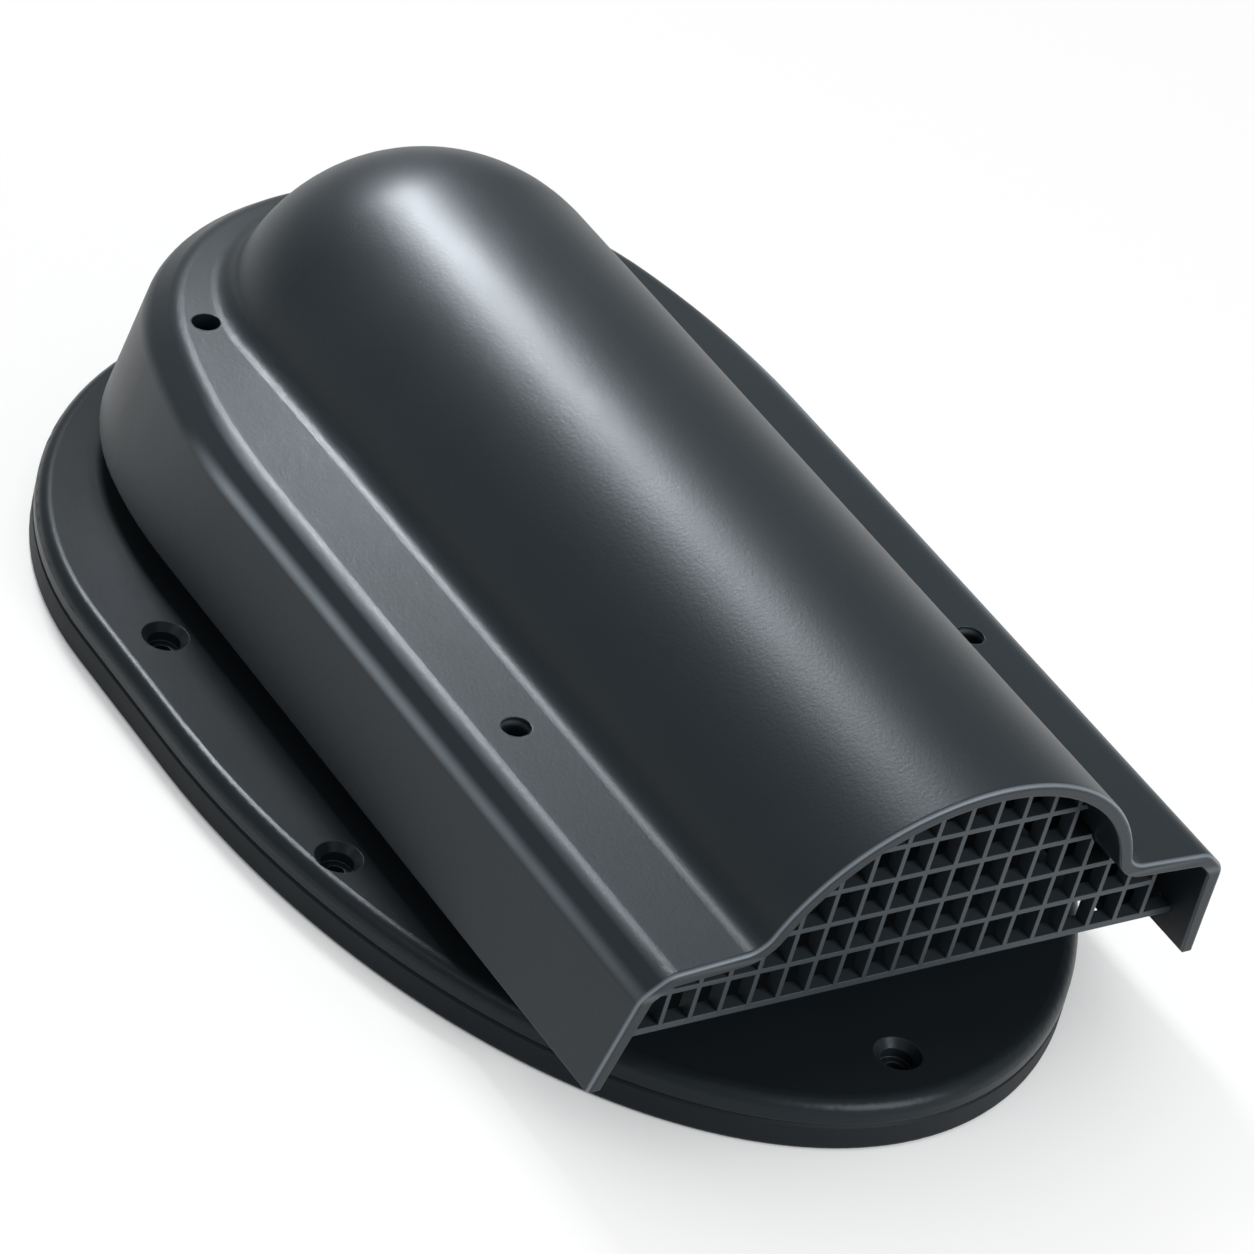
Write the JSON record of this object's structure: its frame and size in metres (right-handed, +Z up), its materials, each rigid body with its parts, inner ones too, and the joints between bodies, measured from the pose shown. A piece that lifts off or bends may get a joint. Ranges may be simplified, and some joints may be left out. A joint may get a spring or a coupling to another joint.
{
  "type": "roof vent",
  "caption": "Roof vent: a domed tunnel hood with flared skirts and a recessed lattice grille, over an oval base plate with a ring seal, sunk screw holes and a duct collar.",
  "frame": {"origin": "middle of the underside of the seal", "axes": "+Z up out of the roof, -Y towards the grille and down the slope, +X across"},
  "size_m": [0.266, 0.4, 0.122],
  "materials": {
    "seal_rubber": "matt black rubber",
    "base_plastic": "satin slate-grey moulded plastic",
    "hood_plastic": "satin slate-grey moulded plastic with a fine grain",
    "grille_plastic": "satin slate-grey moulded plastic",
    "screw_steel": "blackened steel"
  },
  "bodies": {
    "root": {"base_seal": "seal_rubber", "base_plate": "base_plastic", "hood": "hood_plastic", "front_grille": "grille_plastic", "hood_screws": "screw_steel"}
  },
  "joints": []
}
